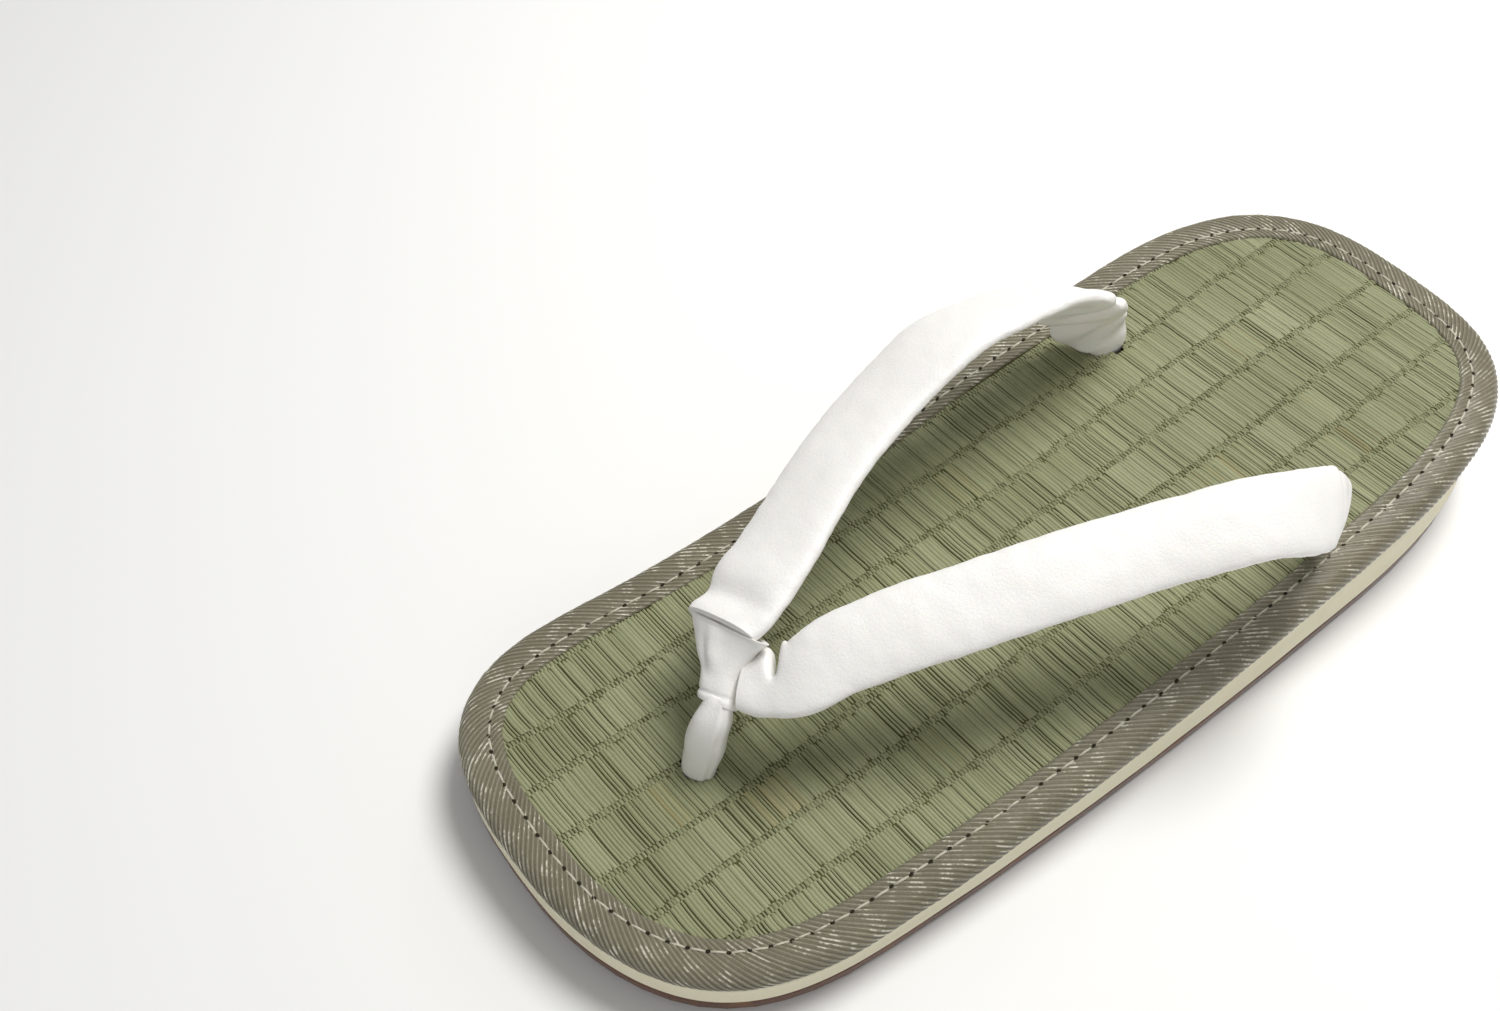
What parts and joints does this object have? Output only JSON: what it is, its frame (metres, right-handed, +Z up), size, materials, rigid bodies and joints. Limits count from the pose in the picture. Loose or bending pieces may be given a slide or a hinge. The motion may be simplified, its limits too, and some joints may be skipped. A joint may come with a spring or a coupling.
{
  "type": "rush mat sandal",
  "caption": "Thonged sandal: woven rush mat footbed bound in twill tape on a foam wedge and rubber outsole, with a padded V strap and toe loop.",
  "frame": {"origin": "centre of the sandal's plan, on the floor it stands on", "axes": "+Y from heel to toe, +X towards the inner side of the left foot, +Z up"},
  "size_m": [0.1049, 0.266, 0.0646],
  "materials": {
    "outsole_rubber": "semi-gloss gum rubber",
    "midsole_foam": "matte closed-cell foam",
    "rush_mat": "woven rush",
    "twill_tape": "satin twill",
    "strap_leather": "soft grained"
  },
  "bodies": {
    "root": {"outsole": "outsole_rubber", "midsole": "midsole_foam", "footbed": "rush_mat", "binding_tape": "twill_tape", "strap_upper": "strap_leather"}
  },
  "joints": []
}
